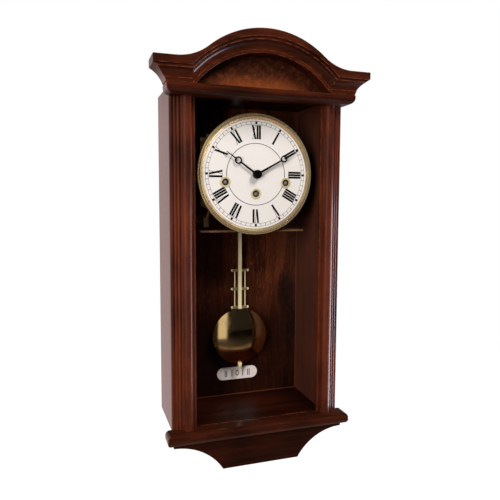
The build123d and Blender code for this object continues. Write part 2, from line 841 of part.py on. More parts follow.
# Barrels with their mainsprings and winding arbors
for name, place in winding_places.items():
    mate = {"time": intermediate_at, "strike": strike_second_at, "chime": chime_second_at}[name]
    drum_length = great_layer - drum_layer
    drum_depth = layer_depth(drum_layer, drum_length)
    drum_radius = pitch_radius(great_teeth, great_module) - drum_inset
    inner_radius = drum_radius - drum_wall
    with BuildPart() as barrel:
        rod(drum_depth, drum_length, place, drum_radius)
        wheel(great_layer, place, great_teeth, great_module, bearing(place, mate), great_thickness)
        rod(drum_depth, drum_length - drum_wall, place, inner_radius, Mode.SUBTRACT)
        great_depth = layer_depth(great_layer, great_thickness)
        rod(great_depth, plate_gap, place, winding_radius + pivot_fit, Mode.SUBTRACT)
    finish(barrel, f"{name}_barrel")

    with BuildPart() as mainspring:
        with BuildSketch(front(drum_depth + spring_margin)):
            with BuildLine():
                outer_radius = inner_radius - spring_margin
                fall = (outer_radius - spring_inner_radius) / (2 * spring_turns)
                ends = [outer_radius - n * fall for n in range(2 * spring_turns + 1)]
                for edge in (0.0, spring_strip):
                    for n in range(2 * spring_turns):
                        way = 1 if n % 2 == 0 else -1
                        start = place[0] + way * (ends[n] - edge)
                        end = place[0] - way * (ends[n + 1] - edge)
                        crest = ((start + end) / 2, place[1] + (start - end) / 2)
                        ThreePointArc((start, place[1]), crest, (end, place[1]))
                for end in (ends[0], ends[-1]):
                    Line((place[0] + end, place[1]), (place[0] + end - spring_strip, place[1]))
            make_face()
        extrude(amount=drum_length - drum_wall - spring_margin - spring_end_gap)
    finish(mainspring, f"{name}_mainspring")

    with BuildPart() as winding_arbor:
        rod(back_plate_back, plate_thickness + end_shake, place, winding_pivot)
        ratchet_depth = front_plate_face + ratchet_gap
        shank_depth = back_plate_face + end_shake
        rod(shank_depth, ratchet_depth - shank_depth, place, winding_radius)
        teeth = saw_points(place, ratchet_teeth, ratchet_radius, ratchet_root, 0)
        slab(ratchet_depth, ratchet_thickness, teeth)
        square_depth = ratchet_depth + ratchet_thickness
        square_end = dial_front - winding_recess
        block(square_depth, square_end - square_depth, place, winding_square, winding_square)
    finish(winding_arbor, f"{name}_winding_arbor")

# Clicks beside the ratchet wheels, on posts of the front plate
with BuildPart() as clicks:
    for place in winding_places.values():
        nose = ratchet_radius + click_gap
        post = (place[0] + nose + click_width / 2, place[1] - click_reach)
        rod(front_plate_face, ratchet_gap + ratchet_thickness, post, click_post)
        middle = (post[0], place[1] - click_reach / 2)
        block(ratchet_depth, ratchet_thickness, middle, click_width, click_reach)
finish(clicks, "clicks")

# Going train
with BuildPart() as intermediate_arbor:
    arbor(intermediate_at)
    wheel(second_layer, intermediate_at, second_teeth, second_module, bearing(intermediate_at, centre_at))
    pinion(great_layer, great_thickness, intermediate_at, great_module, time_at)
finish(intermediate_arbor, "intermediate_arbor")

cannon_depth = front_plate_face + end_shake
cannon_thick = pinion_thickness
hour_wheel_depth = cannon_depth + cannon_thick + end_shake
hour_hand_depth = dial_front + hour_hand_gap
minute_hand_depth = hour_hand_depth + hand_thickness + minute_hand_gap
cannon_end = minute_hand_depth + hand_thickness
with BuildPart() as minute_arbor:
    rod(back_plate_face + end_shake, plate_gap - 2 * end_shake, centre_at, arbor_radius)
    rod(back_plate_back, plate_thickness + end_shake, centre_at, pivot_radius)
    rod(front_plate_back - end_shake, cannon_end - front_plate_back, centre_at, arbor_radius)
    wheel(centre_layer, centre_at, centre_teeth, centre_module, bearing(centre_at, third_at))
    pinion(second_layer, wheel_thickness, centre_at, second_module, intermediate_at)
    rod(cannon_depth, cannon_end - cannon_depth, centre_at, cannon_radius)
    cannon_phase = bearing(centre_at, minute_wheel_at) + 180 / cannon_teeth
    slab(cannon_depth, cannon_thick, gear_points(centre_at, cannon_teeth, minute_module, cannon_phase))
finish(minute_arbor, "minute_arbor")

with BuildPart() as third_arbor:
    arbor(third_at)
    pinion(centre_layer, wheel_thickness, third_at, centre_module, centre_at)
    wheel(third_layer, third_at, third_teeth, third_module, bearing(third_at, escape_at))
finish(third_arbor, "third_arbor")

escape_depth = layer_depth(escape_layer, wheel_thickness)
with BuildPart() as escape_arbor:
    arbor(escape_at)
    pinion(third_layer, wheel_thickness, escape_at, third_module, third_at)
    slab(escape_depth, wheel_thickness, saw_points(escape_at, escape_teeth, escape_radius, escape_root, 0))
finish(escape_arbor, "escape_arbor")

# Strike and chime trains
for name, second_at, barrel_at, fly_at in (
    ("strike", strike_second_at, strike_at, strike_fly_at),
    ("chime", chime_second_at, chime_at, chime_fly_at),
):
    with BuildPart() as second_arbor:
        arbor(second_at)
        pinion(great_layer, great_thickness, second_at, great_module, barrel_at)
        wheel(second_layer, second_at, second_teeth, second_module, bearing(second_at, fly_at))
    finish(second_arbor, f"{name}_second_arbor")

    with BuildPart() as fly:
        arbor(fly_at)
        pinion(second_layer, wheel_thickness, fly_at, second_module, second_at)
        block(layer_depth(fly_layer, fly_length), fly_length, fly_at, 2 * fly_half_span, fly_thickness)
    finish(fly, f"{name}_fly")

# Motion work
with BuildPart() as minute_wheel:
    slab(cannon_depth, wheel_thickness,
         gear_points(minute_wheel_at, minute_teeth, minute_module, bearing(minute_wheel_at, centre_at)))
    leaf_phase = bearing(minute_wheel_at, centre_at) + 180 / pinion_teeth
    leaf_length = hour_wheel_depth + wheel_thickness - cannon_depth - wheel_thickness
    slab(cannon_depth + wheel_thickness, leaf_length,
         gear_points(minute_wheel_at, pinion_teeth, hour_module, leaf_phase))
    rod(cannon_depth, dial_gap, minute_wheel_at, arbor_radius + pivot_fit, Mode.SUBTRACT)
finish(minute_wheel, "minute_wheel")

with BuildPart() as hour_wheel:
    slab(hour_wheel_depth, wheel_thickness,
         gear_points(centre_at, hour_teeth, hour_module, bearing(centre_at, minute_wheel_at)))
    pipe_end = hour_hand_depth + hand_thickness
    rod(hour_wheel_depth, pipe_end - hour_wheel_depth, centre_at, hour_pipe_radius)
    rod(hour_wheel_depth, pipe_end - hour_wheel_depth, centre_at, cannon_radius + pivot_fit, Mode.SUBTRACT)
finish(hour_wheel, "hour_wheel")


def hand_outline(angle, length, ring_at, ring_radius, ring_hole, bore):
    """Hand with a ring near its tip, pointing at a clock angle from twelve."""
    turn = 90 - angle
    with BuildSketch(Plane.XY) as flat:
        Circle(hub_radius)
        with BuildLine():
            edge = [(0, hand_root_width / 2), (ring_at, hand_neck_width / 2), (length, hand_tip_width / 2)]
            Polyline(*edge, *[(x, -y) for x, y in reversed(edge)], close=True)
        make_face()
        with Locations((ring_at, 0)):
            Circle(ring_radius)
            Circle(ring_hole, mode=Mode.SUBTRACT)
        Circle(bore, mode=Mode.SUBTRACT)
    with Locations(Location((centre_at[0], centre_at[1]), turn)):
        add(flat.sketch)


with BuildPart() as hour_hand:
    with BuildSketch(front(hour_hand_depth)):
        hand_outline(hour_hand_angle, hour_hand_length, hour_ring_at, hour_ring_radius,
                     hour_ring_hole, hour_pipe_radius)
    extrude(amount=hand_thickness)
finish(hour_hand, "hour_hand")

with BuildPart() as minute_hand:
    with BuildSketch(front(minute_hand_depth)):
        hand_outline(minute_hand_angle, minute_hand_length, minute_ring_at, minute_ring_radius,
                     minute_ring_hole, cannon_radius)
    extrude(amount=hand_thickness)
    rod(cannon_end, cap_rise, centre_at, hub_radius)
    fillet(minute_hand.edges().group_by(Axis.Y)[0], cap_rise / 2)
finish(minute_hand, "minute_hand")

# Back cock with the suspension pin, and the verge with its anchor and crutch
pin_end = pendulum_depth - chop_thick / 2 - end_shake
with BuildPart() as back_cock:
    block(bridge_depth, cock_bridge, verge_at, 2 * cock_spread + cock_foot, cock_tall)
    for side in (-1, 1):
        block(bridge_depth + cock_bridge, cock_standoff, (side * cock_spread, verge_at[1]), cock_foot,
              cock_tall)
    blind_depth = bridge_depth + cock_bridge - cock_blind
    rod(blind_depth, cock_blind, verge_at, pivot_radius + pivot_fit, Mode.SUBTRACT)
    rod(pin_end, bridge_depth - pin_end, verge_at, suspension_pin)
    rod(pin_end - suspension_pin, suspension_pin, verge_at, suspension_flange)
finish(back_cock, "back_cock")

crutch_depth = back_plate_back - crutch_standoff
fork_back = pendulum_depth - pendulum_thick
crutch_foot = verge_at[1] - crutch_length
with BuildPart() as verge:
    verge_back = bridge_depth + cock_bridge + end_shake
    rod(verge_back, front_plate_back - end_shake - verge_back, verge_at, arbor_radius)
    rod(verge_back - cock_blind, cock_blind, verge_at, pivot_radius)
    rod(front_plate_back - end_shake, plate_thickness + end_shake, verge_at, pivot_radius)
    tip_z = escape_at[1] + sqrt(escape_radius**2 - anchor_half_span**2) + anchor_gap
    top_z = verge_at[1] + anchor_thick
    half_anchor = [
        (anchor_half_span - anchor_thick, verge_at[1] - anchor_thick),
        (anchor_half_span, tip_z),
        (anchor_half_span + anchor_thick, tip_z),
        (anchor_half_span - anchor_thick / 2, top_z),
    ]
    slab(escape_depth, wheel_thickness, half_anchor + [(-x, z) for x, z in reversed(half_anchor)])
    rod(crutch_depth, crutch_thickness, verge_at, crutch_boss)
    block(crutch_depth, crutch_thickness, (0, verge_at[1] - crutch_length / 2), crutch_width,
          crutch_length)
    fork_width = pendulum_width + 2 * crutch_fit + 2 * crutch_fork
    block(fork_back, crutch_depth + crutch_thickness - fork_back, (0, crutch_foot), fork_width,
          fork_tall)
    slot_end = pendulum_depth + pendulum_thick
    block(fork_back, slot_end - fork_back, (0, crutch_foot), pendulum_width + 2 * crutch_fit,
          fork_tall, Mode.SUBTRACT)
finish(verge, "verge")

# Pendulum
chop_back = pendulum_depth - chop_thick / 2
chop_base = verge_at[1] - chop_drop
rod_top = chop_base - leaf_drop - lower_chop
with BuildPart() as suspension_spring:
    upper_tall = chop_top + chop_drop
    block(chop_back, chop_thick, (0, verge_at[1] + chop_top - upper_tall / 2), chop_width, upper_tall)
    block(pendulum_depth - leaf_thick / 2, leaf_thick, (0, chop_base - leaf_drop / 2), chop_width,
          leaf_drop)
    block(chop_back, chop_thick, (0, rod_top + lower_chop / 2), chop_width, lower_chop)
    rod(chop_back, chop_thick, verge_at, suspension_pin + pivot_fit, Mode.SUBTRACT)
finish(suspension_spring, "suspension_spring")

rod_back = pendulum_depth - pendulum_thick / 2
bob_z = height(bob_height)
bob_foot = height(bob_foot_height)
nut_foot = bob_foot - nut_tall
with BuildPart() as pendulum_rod:
    block(rod_back, pendulum_thick, (0, (rod_top + bob_foot) / 2), pendulum_width,
          rod_top - bob_foot)
    for n in range(crossbar_count):
        bar_z = height(crossbar_foot + n * crossbar_pitch)
        block(pendulum_depth - crossbar_thick / 2, crossbar_thick, (0, bar_z), crossbar_width,
              crossbar_tall)
        for side in (-1, 1):
            with Locations((side * crossbar_width / 2, -pendulum_depth, bar_z)):
                Sphere(crossbar_ball)
    grid_height = (crossbar_count - 1) * crossbar_pitch
    for side in (-1, 1):
        with BuildSketch(Plane.XY.offset(height(crossbar_foot))) as side_rod:
            with Locations((side * side_rod_spread, -pendulum_depth)):
                Circle(side_rod_radius)
        extrude(side_rod.sketch, amount=grid_height)
    with BuildSketch(Plane.XY.offset(nut_foot)) as stud:
        with Locations((0, -pendulum_depth)):
            Circle(stud_radius)
    extrude(stud.sketch, amount=nut_tall)
    with Locations((0, -pendulum_depth, nut_foot - pointer_length / 2)):
        Cone(pointer_tip, pointer_radius, pointer_length)
finish(pendulum_rod, "pendulum_rod")

bob_plane = Plane((0, -pendulum_depth, bob_z), x_dir=(1, 0, 0), z_dir=(0, 0, 1))
with BuildPart() as pendulum_bob:
    with BuildSketch(bob_plane):
        with BuildLine():
            Line((0, bob_back_bulge), (0, -bob_front_bulge))
            RadiusArc((0, -bob_front_bulge), (bob_radius, -bob_rim / 2),
                      -(bob_radius**2 + bob_front_bulge**2) / (2 * bob_front_bulge))
            Line((bob_radius, -bob_rim / 2), (bob_radius, bob_rim / 2))
            RadiusArc((bob_radius, bob_rim / 2), (0, bob_back_bulge),
                      -(bob_radius**2 + bob_back_bulge**2) / (2 * bob_back_bulge))
        make_face()
    revolve(axis=Axis((0, 0, bob_z), (0, 1, 0)))
    block(rod_back - bob_fit, pendulum_thick + 2 * bob_fit, (0, bob_z), pendulum_width + 2 * bob_fit,
          2 * bob_radius, Mode.SUBTRACT)
finish(pendulum_bob, "pendulum_bob")

with BuildPart() as rating_nut:
    with BuildSketch(Plane.XY.offset(nut_foot)):
        with Locations((0, -pendulum_depth)):
            Circle(nut_radius)
            Circle(stud_radius, mode=Mode.SUBTRACT)
    extrude(amount=nut_tall)
    chamfer(rating_nut.edges().filter_by(GeomType.CIRCLE).group_by(SortBy.RADIUS)[-1], nut_tall / 8)
finish(rating_nut, "rating_nut")

# Hammer on its arbor, gong block with rods, and the silence lever
with BuildPart() as hammer_arbor:
    rod(back_plate_back, plate_gap + 2 * plate_thickness, hammer_at, arbor_radius)
finish(hammer_arbor, "hammer_arbor")

gong_x = -inner_half + gong_rod_wall_gap
hammer_depth = layer_depth(hammer_layer, hammer_arm_thick)
with BuildPart() as hammer:
    head_at = (gong_x + gong_rod_radius + hammer_lift + hammer_head_width / 2, hammer_at[1] - hammer_drop)
    arm_length = hypot(head_at[0] - hammer_at[0], head_at[1] - hammer_at[1])
    with BuildSketch(front(hammer_depth)) as arm:
        with Locations(((hammer_at[0] + head_at[0]) / 2, (hammer_at[1] + head_at[1]) / 2)):
            Rectangle(arm_length, hammer_arm_width, rotation=bearing(hammer_at, head_at))
        with Locations(hammer_at):
            Circle(hammer_boss)
    extrude(arm.sketch, amount=hammer_arm_thick)
    head_depth = hammer_depth + hammer_arm_thick / 2 - hammer_head_long / 2
    block(head_depth, hammer_head_long, head_at, hammer_head_width, hammer_head_tall)
    rod(hammer_depth, hammer_arm_thick, hammer_at, arbor_radius + pivot_fit, Mode.SUBTRACT)
finish(hammer, "hammer")

gong_foot = height(ceiling_height - gong_block_drop - gong_block_tall)
gong_end = seat_z + gong_rod_clearance
gong_places = [gong_first_depth + n * gong_pitch for n in range(gong_count)]
with BuildPart() as gong_rods:
    for depth in gong_places:
        with BuildSketch(Plane.XY.offset(gong_end)) as gong:
            with Locations((gong_x, -depth)):
                Circle(gong_rod_radius)
        extrude(gong.sketch, amount=gong_foot + gong_block_tall / 2 - gong_end)
finish(gong_rods, "gong_rods")

with BuildPart() as gong_block:
    block_long = gong_places[-1] - gong_places[0] + 2 * gong_block_margin
    block_middle = (-inner_half + gong_block_width / 2, gong_foot + gong_block_tall / 2)
    block(gong_places[0] - gong_block_margin, block_long, block_middle, gong_block_width, gong_block_tall)
    chamfer(gong_block.edges().filter_by(Axis.Y).group_by(Axis.X)[-1], gong_rod_radius)
    with BuildSketch(Plane.XY.offset(gong_foot)) as sockets:
        with Locations(*[(gong_x, -depth) for depth in gong_places]):
            Circle(gong_rod_radius)
    extrude(sockets.sketch, amount=gong_block_tall / 2, mode=Mode.SUBTRACT)
finish(gong_block, "gong_block")

lever_depth = front_plate_face + end_shake / 2
with BuildPart() as silence_lever:
    tip_at = polar(lever_at, lever_reach, lever_angle)
    with BuildSketch(front(lever_depth)):
        with Locations(((lever_at[0] + tip_at[0]) / 2, (lever_at[1] + tip_at[1]) / 2)):
            Rectangle(lever_reach, lever_width, rotation=lever_angle)
        with Locations(lever_at):
            Circle(lever_boss)
            Circle(lever_stud + pivot_fit, mode=Mode.SUBTRACT)
    extrude(amount=lever_thick)
finish(silence_lever, "silence_lever")
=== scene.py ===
# %% [markdown]
# # A wooden wall clock with a pendulum
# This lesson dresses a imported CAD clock: the solids come in as a fixed frame, and each step gives one
# piece the finish or the fine shape that the real clock has. Everything is in metres, with the wall at
# y = 0, the dial facing -Y and z up, so a piece is modelled where it belongs and never moved afterwards.

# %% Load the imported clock
import json
from math import cos, pi, radians, sin

import bmesh
import bpy
from mathutils import Matrix, Vector


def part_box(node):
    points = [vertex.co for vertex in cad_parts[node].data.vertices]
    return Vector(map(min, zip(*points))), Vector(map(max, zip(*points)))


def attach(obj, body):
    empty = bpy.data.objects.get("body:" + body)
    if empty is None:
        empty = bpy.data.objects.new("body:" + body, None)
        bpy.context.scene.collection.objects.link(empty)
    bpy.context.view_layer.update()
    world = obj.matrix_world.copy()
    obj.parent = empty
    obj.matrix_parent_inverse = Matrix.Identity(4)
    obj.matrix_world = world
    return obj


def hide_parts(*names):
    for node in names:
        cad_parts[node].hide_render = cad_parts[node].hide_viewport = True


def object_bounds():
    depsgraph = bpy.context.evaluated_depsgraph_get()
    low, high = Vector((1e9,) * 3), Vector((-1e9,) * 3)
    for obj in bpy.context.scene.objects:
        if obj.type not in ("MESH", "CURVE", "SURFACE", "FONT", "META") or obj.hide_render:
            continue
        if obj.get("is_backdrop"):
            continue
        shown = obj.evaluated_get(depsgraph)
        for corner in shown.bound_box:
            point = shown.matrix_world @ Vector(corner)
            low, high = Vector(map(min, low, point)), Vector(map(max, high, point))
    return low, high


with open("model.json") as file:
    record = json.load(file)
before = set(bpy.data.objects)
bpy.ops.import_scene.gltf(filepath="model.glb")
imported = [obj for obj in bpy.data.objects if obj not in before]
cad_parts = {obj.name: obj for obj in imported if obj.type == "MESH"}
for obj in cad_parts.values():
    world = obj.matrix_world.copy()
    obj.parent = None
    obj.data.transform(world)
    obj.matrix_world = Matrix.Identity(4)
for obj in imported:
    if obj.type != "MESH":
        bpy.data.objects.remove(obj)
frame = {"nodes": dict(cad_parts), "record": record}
cad_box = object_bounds()
nodes = frame["nodes"]
record = frame["record"]
body_of = {node: body for body, members in record["behaviour"]["bodies"].items() for node in members}
slot_of = {row["node"]: row["material_slot"] for row in record["subparts"]}
mm = 0.001

# %% [markdown]
# ## The camera
# The picture to match was taken from the left of the clock, just below the height of the dial, from 0.8 m.
# A camera can be aimed with a Track To constraint, but a constraint hides its angles, so the three angles
# are written down and turned into the camera's own right, up and back directions.

# %% Camera
yaw, pitch, roll = radians(18.50), radians(5.288), radians(0.2255)
ahead = Vector((sin(yaw) * cos(pitch), cos(yaw) * cos(pitch), -sin(pitch)))
level = Vector((cos(yaw), -sin(yaw), 0))
right = Matrix.Rotation(-roll, 3, ahead) @ level
camera = bpy.data.objects.new("camera", bpy.data.cameras.new("camera"))
camera.data.sensor_width = 36
camera.data.lens = 37.55
camera.matrix_world = Matrix((right, right.cross(ahead), -ahead)).transposed().to_4x4()
camera.location = (-0.24095, -0.79029, -0.11559)
bpy.context.scene.collection.objects.link(camera)
bpy.context.scene.camera = camera
print("camera at", [round(v, 3) for v in camera.location], "lens", camera.data.lens)

# %% [markdown]
# ## Shader sums in plain Python
# A node tree is a sum with boxes and wires. Written as boxes it is long and hard to read, so one small
# class wraps an output socket and overloads the arithmetic: `1 - pores * 0.4` adds the Math nodes it needs.
# Every other kind of node comes from its one `node` method: settings first, then the sockets.

# %% Shade: a socket that can be calculated with
class Shade:
    """An output socket; arithmetic on it adds Math nodes."""

    def __init__(self, tree, socket=None):
        self.tree = tree
        self.socket = socket

    def node(self, kind, sockets=(), out=0, stops=(), **settings):
        made = self.tree.nodes.new(kind)
        for name, value in settings.items():
            setattr(made, name, value)
        for place, colour in stops[2:]:
            made.color_ramp.elements.new(place)
        for element, (place, colour) in zip(made.color_ramp.elements if stops else (), sorted(stops)):
            element.position = place
            element.color = (*colour, 1)
        for key, value in dict(sockets).items():
            if isinstance(value, Shade):
                self.tree.links.new(value.socket, made.inputs[key])
            else:
                made.inputs[key].default_value = value
        return Shade(self.tree, made.outputs[out])

    def math(self, operation, *values):
        return self.node("ShaderNodeMath", enumerate(values), operation=operation)

    def __add__(self, other):
        return self.math("ADD", self, other)

    def __sub__(self, other):
        return self.math("SUBTRACT", self, other)

    def __rsub__(self, other):
        return self.math("SUBTRACT", other, self)

    def __mul__(self, other):
        return self.math("MULTIPLY", self, other)

    __radd__ = __add__
    __rmul__ = __mul__


# %% [markdown]
# A few short words on top of that class keep the recipes readable: `vector` does sums with points, `spread`
# stretches coordinates, `noise` is a cloudy pattern, `rise` fades from 0 to 1 between two values, `tint`
# mixes two colours, `relief` turns a height into a bump, `axis` takes one coordinate, `size` drops its sign
# and `edge_mask` finds the eased edges. They are functions, so that each recipe reads like a list of what
# was done.

# %% Words for the recipes
def vector(operation, *values, out=0):
    return values[0].node("ShaderNodeVectorMath", enumerate(values), out=out, operation=operation)


def spread(spot, x, y, z):
    return vector("MULTIPLY", spot, (x, y, z))


def noise(spot, scale, detail=2.0, roughness=0.5, distortion=0.0):
    sockets = {"Vector": spot, "Scale": scale, "Detail": detail, "Roughness": roughness,
               "Distortion": distortion}
    return spot.node("ShaderNodeTexNoise", sockets)


def rise(value, low, high):
    return value.node("ShaderNodeMapRange", {0: value, 1: low, 2: high}, interpolation_type="SMOOTHSTEP")


def tint(share, first, second):
    first = first if isinstance(first, Shade) else (*first, 1)
    second = second if isinstance(second, Shade) else (*second, 1)
    return share.node("ShaderNodeMix", {0: share, 6: first, 7: second}, out=2, data_type="RGBA")


def relief(height, depth):
    return height.node("ShaderNodeBump", {"Height": height, "Distance": depth, "Strength": 1.0})


def axis(spot, letter):
    return spot.node("ShaderNodeSeparateXYZ", {0: spot}, out=letter)


def size(value):
    return value.math("ABSOLUTE", value)


def edge_mask(spot):
    return spot.node("ShaderNodeAttribute", attribute_name="edge", out="Fac")


def make_finish(name, paint, **constants):
    """A material: what is the same all over is set on the shader, and paint(spot) gives what varies."""
    material = bpy.data.materials.new(name)
    material.use_nodes = True
    shader = material.node_tree.nodes["Principled BSDF"]
    for socket, value in constants.items():
        shader.inputs[socket.replace("_", " ")].default_value = value
    spot = Shade(material.node_tree).node("ShaderNodeTexCoord", out="Object")
    for socket, shade in paint(spot).items():
        spot.tree.links.new(shade.socket, shader.inputs[socket])
    print("finish", name, "with", len(material.node_tree.nodes), "nodes")
    return material


# %% [markdown]
# ## Stained wood under lacquer
# The case is a close-grained hardwood, stained a dark red-brown and sprayed with clear lacquer. Three sizes
# of the same noise, drawn out along the grain, give the bands of the board, its fibres and its short dark
# pores. The lacquer is the shader's coat, which no underside got. Where a corner was sanded the stain is
# thin, so eased edges, which carry an attribute called edge, turn redder. One recipe gives four finishes:
# level boards; upright side panels whose inner faces are painted paler and greyer, painted light for the
# light on the walls inside the case; pilasters in a lighter stain; and a darker copy, painted shade, for the
# boards inside the case and the apron, with hardly any polish.

# %% The case's wood
stain_dark, stain_light = (0.018, 0.0042, 0.0022), (0.098, 0.020, 0.0078)
stain_sanded, inner_painted_light = (0.24, 0.068, 0.028), (0.125, 0.050, 0.033)
along_grain = 0.045
fibre_relief = 0.06 * mm
inner_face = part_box("side_panel_right")[0].x


def stained(along, depth, coat, lit_inside=False):
    """Stained wood: grain along x or z, depth scales the stain's colour, coat is the lacquer on it."""
    stretch = {"x": (along_grain, 1, 1), "z": (1, 1, along_grain)}[along]
    dark, light = [depth * v for v in stain_dark], [depth * v for v in stain_light]

    def paint(spot):
        grain = spread(spot, *stretch)
        bands = noise(grain, 95, 3.0, 0.6, 0.4)
        fibres = noise(grain, 620, 2.0, 0.6)
        pores = rise(noise(grain, 1500, 1.0), 0.60, 0.72)
        clouds = noise(spot, 14, 2.0)
        tone = rise(bands * 0.5 + fibres * 0.3 + clouds * 0.4, 0.38, 0.82)
        colour = tint(tone, dark, light)
        colour = tint(pores * 0.55, colour, [v * 0.35 for v in dark])
        worn = edge_mask(spot) * rise(noise(spot, 160, 3.0), 0.38, 0.62)
        colour = tint(worn * 0.75, colour, stain_sanded)
        # Painted light: the inner faces of the side panels are painted paler and greyer.
        if lit_inside:
            inside = 1 - rise(size(axis(spot, "X")), inner_face + 0.5 * mm, inner_face + 2.5 * mm)
            colour = tint(inside * 0.4, colour, inner_painted_light)
        facing_up = axis(spot.node("ShaderNodeTexCoord", out="Normal"), "Z")
        return {
            "Base Color": colour,
            "Roughness": 0.30 + fibres * 0.14 + clouds * 0.06,
            "Coat Weight": coat * rise(facing_up, -0.9, -0.4),
            "Normal": relief(fibres * 0.5 - pores * 0.6 + bands * 0.4, fibre_relief),
        }

    return paint


def wood(name, recipe, coat_roughness):
    return make_finish("stained wood, " + name, recipe, Coat_Roughness=coat_roughness, Specular_IOR_Level=0.1)


level_wood = wood("level grain", stained("x", 0.72, 0.9), 0.13)
panel_wood = wood("lit inside", stained("z", 1.0, 0.9, lit_inside=True), 0.13)
post_wood = wood("upright grain", stained("z", 1.45, 0.5), 0.2)
# A darker copy of the stain, painted shade, for the boards inside the case and the apron.
shaded_wood = wood("painted shade, unpolished", stained("x", 0.42, 0.1), 0.4)

# %% [markdown]
# ## Veneers
# The back panel is a thin veneered board with upright figure and one dark knot at the right. Its colour is
# painted darker behind the bob and below it, most of all at the left: painted shade, where the case shades
# the panel. Where it meets the side panels and the floor a fine paler line is painted on, a painted
# highlight along those corners. The panel under the arch is burl: its grain has no direction, only swirls
# and eyes, and painted light makes it glow low in the middle, with painted shade above that under the arch.
# Both are noise again: the knot is a soft round spot that also bends the grain, and the burl is noise whose
# coordinates are pushed about by a second noise.

# %% Back panel veneer
floor_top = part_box("bottom_board")[1].z
knot_at, knot_squeeze, knot_core, knot_rim = (0.086, 0, -0.258), (1, 0, 0.62), 4 * mm, 30 * mm
# The back panel's painted shade starts below the first heights and to the left of the second places.
painted_shade_below, painted_shade_left_of = (-0.31, -0.235), (-0.05, 0.03)
highlight_near, highlight_far = 0.7 * mm, 1.3 * mm
veneer_dark, veneer_light = (0.021, 0.0062, 0.0038), (0.165, 0.042, 0.017)
fleck_red, knot_brown = (0.24, 0.068, 0.024), (0.009, 0.004, 0.003)
painted_shade_brown, highlight_red = (0.004, 0.0012, 0.001), (0.26, 0.085, 0.042)
veneer_relief = 0.05 * mm


def veneer(spot):
    from_knot = spread(vector("SUBTRACT", spot, knot_at), *knot_squeeze)
    knot = 1 - rise(vector("LENGTH", from_knot, out="Value"), knot_core, knot_rim)
    sway = noise(spread(spot, 1, 1, 0.4), 18)
    bent = spot.node("ShaderNodeCombineXYZ", {"X": knot * 0.02 + sway * 0.02})
    grain = spread(vector("ADD", spot, bent), 1, 1, 0.05)
    bands = noise(grain, 75, 4.0, 0.6)
    fibres = noise(grain, 520, 2.0, 0.6)
    flecks = rise(noise(spread(spot, 1, 1, 0.25), 420, 2.0), 0.56, 0.70)
    clouds = noise(spot, 16, 3.0)
    tone = rise(bands * 0.55 + fibres * 0.3 + clouds * 0.35, 0.40, 0.86)
    colour = tint(tone, veneer_dark, veneer_light)
    colour = tint(flecks * 0.45, colour, fleck_red)
    colour = tint(knot * 0.85, colour, knot_brown)
    sideways, height = axis(spot, "X"), axis(spot, "Z")
    # Painted shade: darker towards the bottom of the panel, and more so at the left.
    low = 1 - rise(height, *painted_shade_below)
    left = 1 - rise(sideways, *painted_shade_left_of)
    colour = tint(low * (0.76 + left * 0.14), colour, painted_shade_brown)
    # Painted highlight: a fine paler red line where the panel meets the side panels and the floor.
    side_highlight = rise(size(sideways), inner_face - highlight_far, inner_face - highlight_near)
    floor_highlight = 1 - rise(height, floor_top + highlight_near, floor_top + highlight_far)
    corner_highlight = side_highlight.math("MAXIMUM", side_highlight, floor_highlight)
    colour = tint(corner_highlight * 0.5, colour, highlight_red)
    return {
        "Base Color": colour,
        "Roughness": 0.34 + fibres * 0.16,
        "Normal": relief(fibres * 0.6 + bands * 0.4, veneer_relief),
    }


back_veneer = make_finish("figured veneer", veneer, Coat_Weight=0.35, Coat_Roughness=0.16,
                          Specular_IOR_Level=0.15)

# %% Burl veneer of the arch
burl_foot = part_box("tympanum_panel")[0].z
burl_push = (0.03, 0.03, 0.03)
burl_tones = ((0.0, (0.024, 0.0065, 0.0034)), (0.5, (0.060, 0.016, 0.007)), (1.0, (0.135, 0.040, 0.014)))
# Painted light on the burl: a red glow low in the middle, and painted shade higher up under the arch.
eye_brown, painted_glow_red, painted_arch_shade = (0.018, 0.005, 0.003), (0.30, 0.075, 0.020), (0.016, 0.0045, 0.003)
painted_glow_rise, painted_glow_core, painted_glow_reach = 26 * mm, 15 * mm, 85 * mm
burl_relief = 0.04 * mm


def burl(spot):
    push = spot.node("ShaderNodeTexNoise", {"Vector": spot, "Scale": 34.0, "Detail": 3.0}, out=1)
    swirl = vector("MULTIPLY_ADD", push, burl_push, spot)
    figure = noise(swirl, 150, 5.0, 0.62)
    eyes = spot.node("ShaderNodeTexVoronoi", {"Vector": swirl, "Scale": 170.0})
    eyes = 1 - rise(eyes, 0.05, 0.28)
    flecks = noise(spread(swirl, 1, 1, 0.4), 900, 2.0)
    tone = rise(figure * 0.8 + flecks * 0.25, 0.34, 0.74)
    colour = spot.node("ShaderNodeValToRGB", {0: tone}, stops=burl_tones)
    colour = tint(eyes * 0.3, colour, eye_brown)
    # Painted glow low in the middle of the panel, and painted shade above it, where the arch shades the
    # panel.
    middle = 1 - rise(size(axis(spot, "X")), painted_glow_core, painted_glow_reach)
    shaded = rise(axis(spot, "Z"), burl_foot, burl_foot + painted_glow_rise)
    colour = tint((1 - shaded) * middle * 0.55, colour, painted_glow_red)
    colour = tint(shaded * 0.35, colour, painted_arch_shade)
    return {
        "Base Color": colour,
        "Roughness": 0.30 + flecks * 0.14,
        "Normal": relief(figure * 0.5 + flecks * 0.3, burl_relief),
    }


burl_veneer = make_finish("burl veneer", burl, Coat_Weight=0.6, Coat_Roughness=0.10, Specular_IOR_Level=0.1)

# %% [markdown]
# ## Brass in several states
# Brass shows on the bezel, the pendulum, the plates and the wheels. It is one recipe with other numbers:
# a metal whose colour is clean gold, with a thin brown tarnish in clouds, and fine lines left by the tool.
# Turned parts carry rings round an axis, so their lines follow the distance from that axis, and drawn or
# brushed parts carry straight lines, which are stretched noise. Polished parts have no cut left to feel,
# so their lines only change the gloss. The crossbars of the pendulum are a browner brass than its rods.

